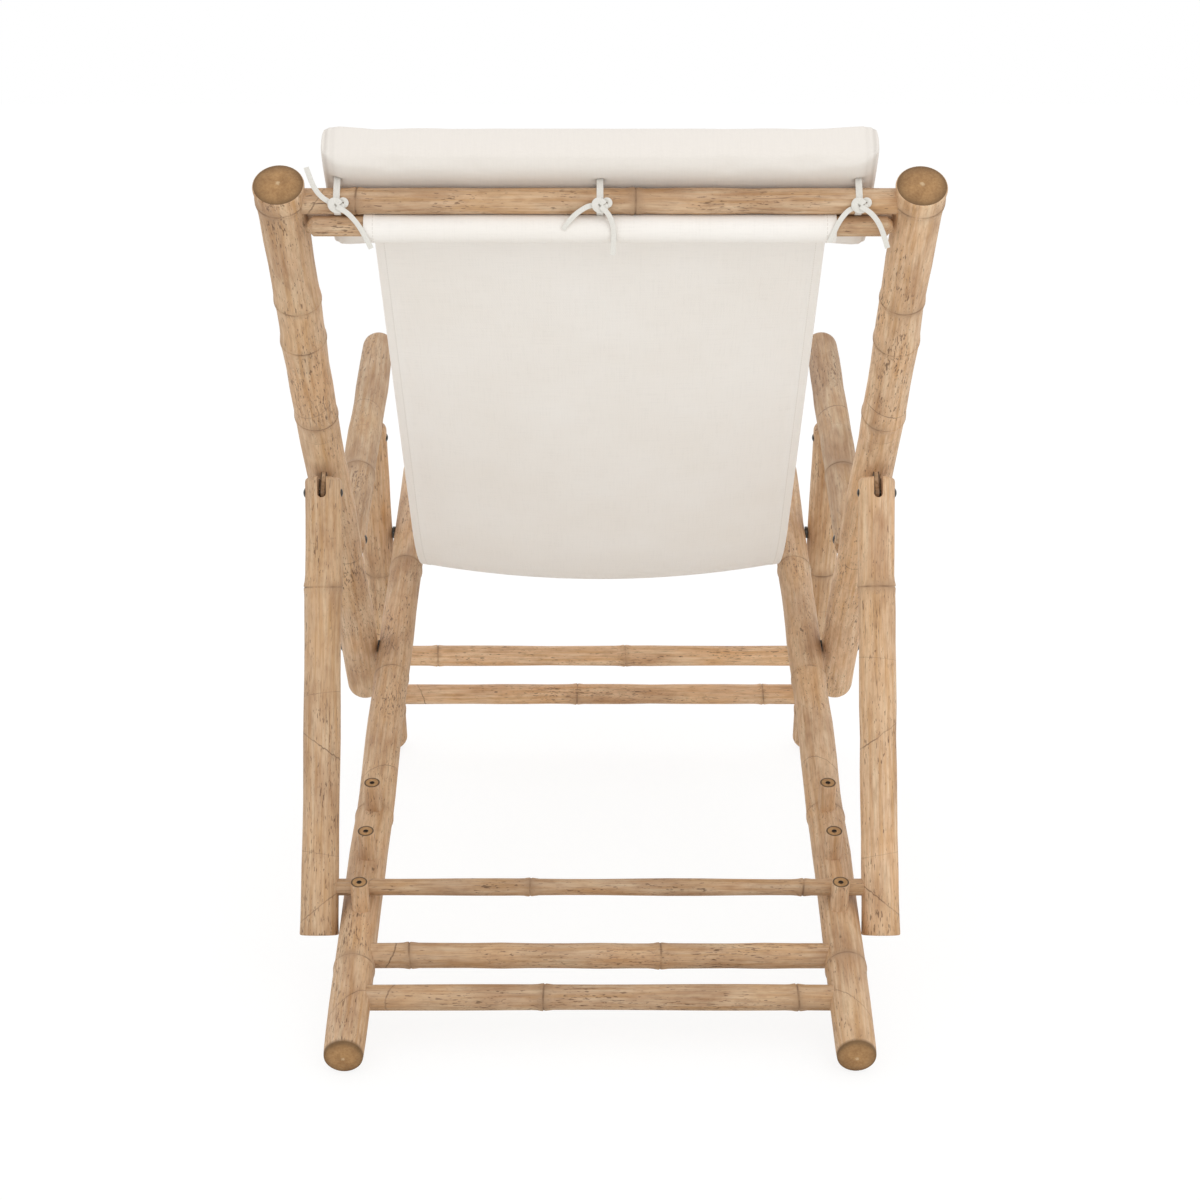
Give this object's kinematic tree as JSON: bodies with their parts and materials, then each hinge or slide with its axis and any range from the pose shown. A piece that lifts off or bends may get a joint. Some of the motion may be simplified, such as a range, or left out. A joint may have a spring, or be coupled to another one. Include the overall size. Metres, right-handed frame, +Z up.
{
  "type": "folding recliner",
  "caption": "Folding deck chair of bamboo poles with a canvas sling, head pillow, armrests, front legs and a rear prop that drops behind notch pegs.",
  "frame": {"origin": "on the floor, under the middle of the whole chair", "axes": "+Z up, the sitter faces -Y, +X is the sitter's left"},
  "size_m": [0.6492, 1.1198, 0.9289],
  "materials": {
    "bamboo": "weathered bamboo, satin",
    "hardwood": "sawn hardwood tongue",
    "cane_end": "cut end, oiled",
    "rod_wood": "turned rod, satin",
    "bolt_steel": "darkened steel, domed",
    "washer_steel": "plain washer",
    "canvas": "cream cotton canvas",
    "pillow": "cream cotton canvas over filling",
    "tape": "white woven cotton tape"
  },
  "bodies": {
    "seat_frame": {"back_pivot_screws": "bolt_steel", "back_pivot_spacers": "washer_steel", "leg_pivot_screws": "bolt_steel", "leg_pivot_spacers": "washer_steel", "notch_peg_left_1": "bamboo", "notch_peg_left_2": "bamboo", "notch_peg_left_3": "bamboo", "notch_peg_right_1": "bamboo", "notch_peg_right_2": "bamboo", "notch_peg_right_3": "bamboo", "rail_plug_left": "cane_end", "rail_plug_right": "cane_end", "rear_bar_lower": "bamboo", "rear_bar_upper": "bamboo", "seat_front_bar": "bamboo", "seat_rail_left": "bamboo", "seat_rail_right": "bamboo", "seat_stop_bar": "bamboo", "sling_rod_front": "rod_wood"},
    "back_frame": {"armrest_tongue_left": "hardwood", "armrest_tongue_right": "hardwood", "back_plug_left": "cane_end", "back_plug_right": "cane_end", "back_pole_left": "bamboo", "back_pole_right": "bamboo", "back_stop_bar": "bamboo", "back_top_bar": "bamboo", "canvas_sling": "canvas", "pillow": "pillow", "pillow_tie_left": "tape", "pillow_tie_middle": "tape", "pillow_tie_right": "tape", "prop_tongue_left": "hardwood", "prop_tongue_right": "hardwood", "sling_rod_back": "rod_wood"},
    "front_leg_frame": {"front_leg_bar_lower": "bamboo", "front_leg_bar_upper": "bamboo", "front_leg_left": "bamboo", "front_leg_right": "bamboo", "leg_top_bolt": "bolt_steel", "leg_top_nut": "bolt_steel"},
    "armrest_left": {"armrest_left": "bamboo", "armrest_left_bolt": "bolt_steel", "armrest_left_nut": "bolt_steel", "leg_tongue_left": "hardwood"},
    "armrest_right": {"armrest_right": "bamboo", "armrest_right_bolt": "bolt_steel", "armrest_right_nut": "bolt_steel", "leg_tongue_right": "hardwood"},
    "prop_frame": {"prop_bar": "bamboo", "prop_bolt": "bolt_steel", "prop_leg_left": "bamboo", "prop_leg_right": "bamboo", "prop_nut": "bolt_steel"}
  },
  "joints": [
    {"name": "back_recline", "type": "hinge", "parent": "seat_frame", "child": "back_frame", "pos_m": [0, -0.13255, 0.25496], "axis": [1, 0, 0], "range_deg": [0, 18], "deforming": ["canvas_sling"]},
    {"name": "front_leg_swing", "type": "hinge", "parent": "seat_frame", "child": "front_leg_frame", "pos_m": [0, -0.38907, 0.34329], "axis": [1, 0, 0], "range_deg": [0, 22.5]},
    {"name": "armrest_tilt_left", "type": "hinge", "parent": "back_frame", "child": "armrest_left", "pos_m": [0, -0.03331, 0.41431], "axis": [1, 0, 0], "range_deg": [-16, 0]},
    {"name": "armrest_tilt_right", "type": "hinge", "parent": "back_frame", "child": "armrest_right", "pos_m": [0, -0.03331, 0.41431], "axis": [1, 0, 0], "range_deg": [-16, 0]},
    {"name": "prop_swing", "type": "hinge", "parent": "back_frame", "child": "prop_frame", "pos_m": [0, 0.21134, 0.52206], "axis": [1, 0, 0], "range_deg": [-14.5, 0]}
  ],
  "couplings": [
    {"joint": "front_leg_swing", "follows": "back_recline", "ratio": 1.2243},
    {"joint": "armrest_tilt_left", "follows": "back_recline", "ratio": -0.8734},
    {"joint": "armrest_tilt_right", "follows": "back_recline", "ratio": -0.8734},
    {"joint": "prop_swing", "follows": "back_recline", "ratio": -0.8}
  ]
}
